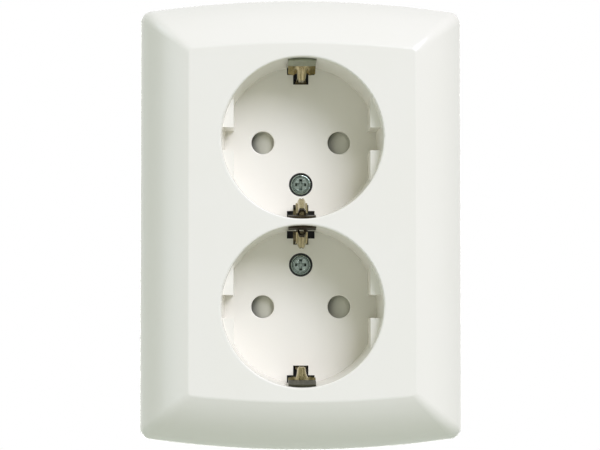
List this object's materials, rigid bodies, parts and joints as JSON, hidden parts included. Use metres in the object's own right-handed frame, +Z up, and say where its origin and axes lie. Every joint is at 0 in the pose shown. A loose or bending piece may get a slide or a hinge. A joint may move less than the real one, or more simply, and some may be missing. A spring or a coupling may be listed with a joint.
{
  "type": "wall socket",
  "caption": "Double flush-mounted wall socket with two round wells, side earth contacts and shuttered pin holes in a bevelled white cover plate.",
  "frame": {"origin": "midway between the two box screws, on the wall's surface", "axes": "+X to the right as seen from the front, +Z up, +Y into the wall"},
  "size_m": [0.08, 0.05, 0.112],
  "materials": {
    "cover_plastic": "smooth moulded, slightly glossy white",
    "insert_plastic": "matt moulded black",
    "housing_plastic": "matt moulded black",
    "shutter_plastic": "matt moulded grey-beige",
    "release_plastic": "matt moulded orange",
    "blackened_steel": "sheet steel with a black finish",
    "nickel_brass": "drawn strip with a thin dull plating",
    "contact_brass": "bare stamped strip",
    "spring_steel": "bright spring steel",
    "rivet_steel": "dull plated steel",
    "zinc_steel": "bluish zinc-plated steel"
  },
  "bodies": {
    "socket": {"cover": "cover_plastic", "support_frame": "blackened_steel", "contact_carrier": "insert_plastic", "rear_housing": "housing_plastic", "earth_link": "nickel_brass", "frame_rivet_1": "rivet_steel", "frame_rivet_2": "rivet_steel", "frame_rivet_3": "rivet_steel", "frame_rivet_4": "rivet_steel", "earth_rivet_upper": "rivet_steel", "earth_rivet_lower": "rivet_steel", "link_rivet_upper": "rivet_steel", "link_rivet_lower": "rivet_steel", "cover_screw_upper": "zinc_steel", "cover_screw_lower": "zinc_steel", "earth_bow_upper": "nickel_brass", "earth_bow_lower": "nickel_brass", "shutter_spring_upper": "spring_steel", "shutter_spring_lower": "spring_steel", "line_contact_rail": "contact_brass", "neutral_contact_rail": "contact_brass", "line_clamp_spring": "spring_steel", "neutral_clamp_spring": "spring_steel", "earth_clamp_spring": "spring_steel", "housing_screw_1": "zinc_steel", "housing_screw_2": "zinc_steel", "housing_screw_3": "zinc_steel", "housing_screw_4": "zinc_steel"},
    "upper_shutter_slider": {"shutter_upper": "shutter_plastic"},
    "lower_shutter_slider": {"shutter_lower": "shutter_plastic"},
    "line_release_key": {"line_release_bar": "release_plastic"},
    "neutral_release_key": {"neutral_release_bar": "release_plastic"},
    "earth_release_key": {"earth_release_bar": "release_plastic"}
  },
  "joints": [
    {"name": "upper_shutter_slide", "type": "slide", "parent": "socket", "child": "upper_shutter_slider", "axis": [1, 0, 0], "range_m": [0, 0.0054], "stiffness_N_per_m": 100, "springref_m": -0.005, "deforming": ["shutter_spring_upper"]},
    {"name": "lower_shutter_slide", "type": "slide", "parent": "socket", "child": "lower_shutter_slider", "axis": [1, 0, 0], "range_m": [0, 0.0054], "stiffness_N_per_m": 100, "springref_m": -0.005, "deforming": ["shutter_spring_lower"]},
    {"name": "line_release_slide", "type": "slide", "parent": "socket", "child": "line_release_key", "axis": [0, -1, 0], "range_m": [0, 0.0015], "stiffness_N_per_m": 1000, "springref_m": -0.0005, "deforming": ["line_clamp_spring"]},
    {"name": "neutral_release_slide", "type": "slide", "parent": "socket", "child": "neutral_release_key", "axis": [0, -1, 0], "range_m": [0, 0.0015], "stiffness_N_per_m": 1000, "springref_m": -0.0005, "deforming": ["neutral_clamp_spring"]},
    {"name": "earth_release_slide", "type": "slide", "parent": "socket", "child": "earth_release_key", "axis": [0, -1, 0], "range_m": [0, 0.0015], "stiffness_N_per_m": 1000, "springref_m": -0.0005, "deforming": ["earth_clamp_spring"]}
  ]
}
